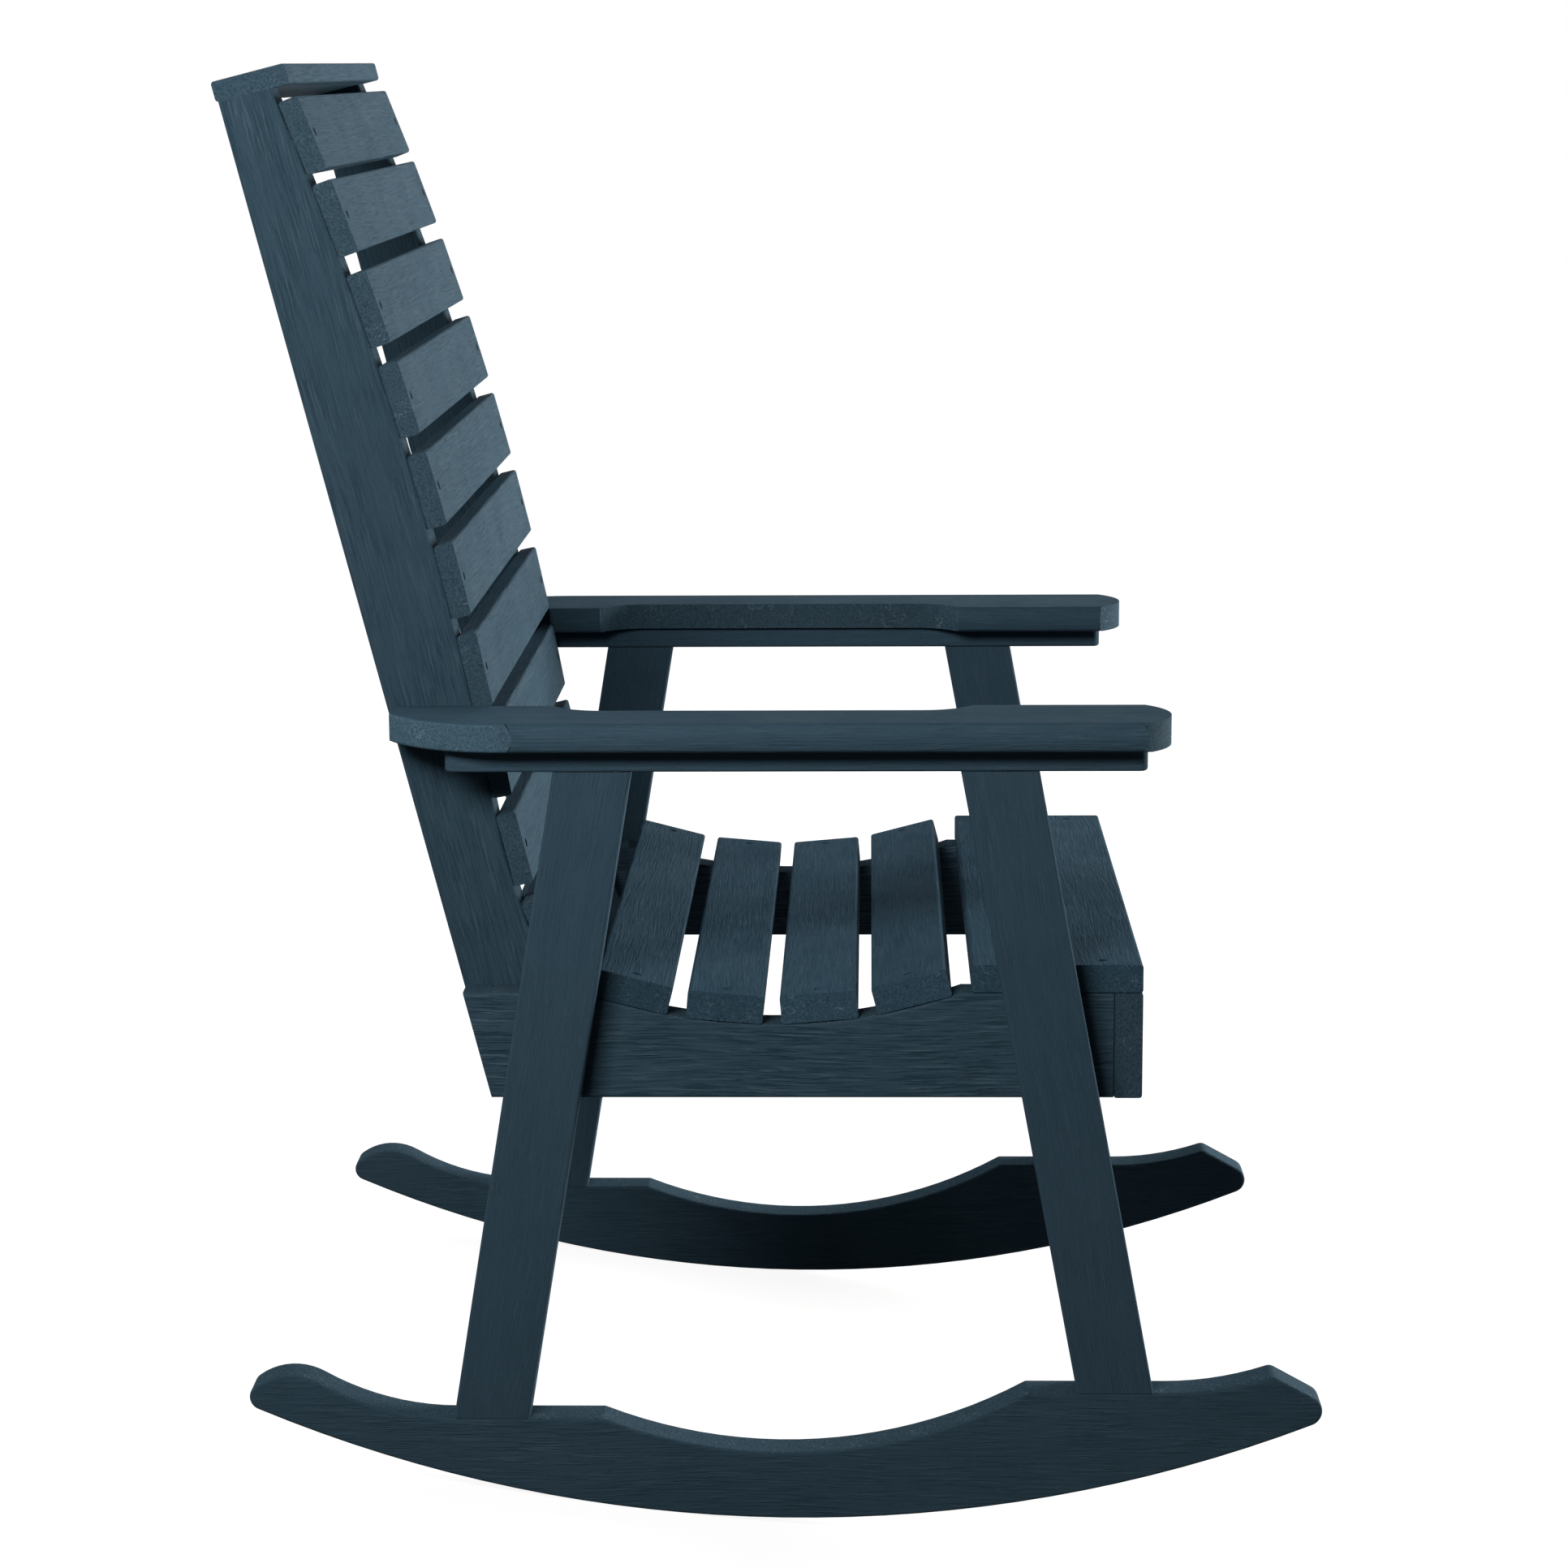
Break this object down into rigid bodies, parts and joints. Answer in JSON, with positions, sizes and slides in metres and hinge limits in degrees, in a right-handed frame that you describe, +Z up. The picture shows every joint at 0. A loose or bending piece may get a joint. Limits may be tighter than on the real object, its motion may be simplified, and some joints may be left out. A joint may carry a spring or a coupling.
{
  "type": "outdoor rocking chair",
  "caption": "High-backed outdoor rocking chair of moulded plastic boards: curved runners, raked legs, dished slatted seat, shaped arms and a tall curved slat back.",
  "frame": {"origin": "On the floor under the middle of the chair's length and width, with the empty chair at rest: it leans 7 degrees back on its runners", "axes": "+Z up; the chair faces -Y; +X is the sitter's left, and the two sides are mirror images about X = 0"},
  "size_m": [0.698, 0.977, 1.0945],
  "materials": {
    "lumber": "dark slate-blue recycled-plastic lumber with an embossed wood grain and porous cut ends",
    "screw_steel": "stainless steel screws with square sockets"
  },
  "bodies": {
    "root": {"arm_left": "lumber", "arm_right": "lumber", "arm_support_left": "lumber", "arm_support_right": "lumber", "back_post_left": "lumber", "back_post_right": "lumber", "back_slat_01": "lumber", "back_slat_02": "lumber", "back_slat_03": "lumber", "back_slat_04": "lumber", "back_slat_05": "lumber", "back_slat_06": "lumber", "back_slat_07": "lumber", "back_slat_08": "lumber", "back_slat_09": "lumber", "back_slat_10": "lumber", "front_apron": "lumber", "front_leg_left": "lumber", "front_leg_right": "lumber", "rear_cross_rail": "lumber", "rear_leg_left": "lumber", "rear_leg_right": "lumber", "rocker_left": "lumber", "rocker_right": "lumber", "seat_rail_left": "lumber", "seat_rail_right": "lumber", "seat_slat_2": "lumber", "seat_slat_3": "lumber", "seat_slat_4": "lumber", "seat_slat_5": "lumber", "seat_slat_front": "lumber", "top_cap": "lumber", "apron_screws": "screw_steel", "arm_screws": "screw_steel", "back_slat_screws": "screw_steel", "cap_screws": "screw_steel", "cross_rail_screws": "screw_steel", "front_leg_screws": "screw_steel", "post_arm_screws": "screw_steel", "rear_leg_screws": "screw_steel", "rocker_screws": "screw_steel", "seat_slat_screws": "screw_steel", "support_screws": "screw_steel"}
  },
  "joints": []
}
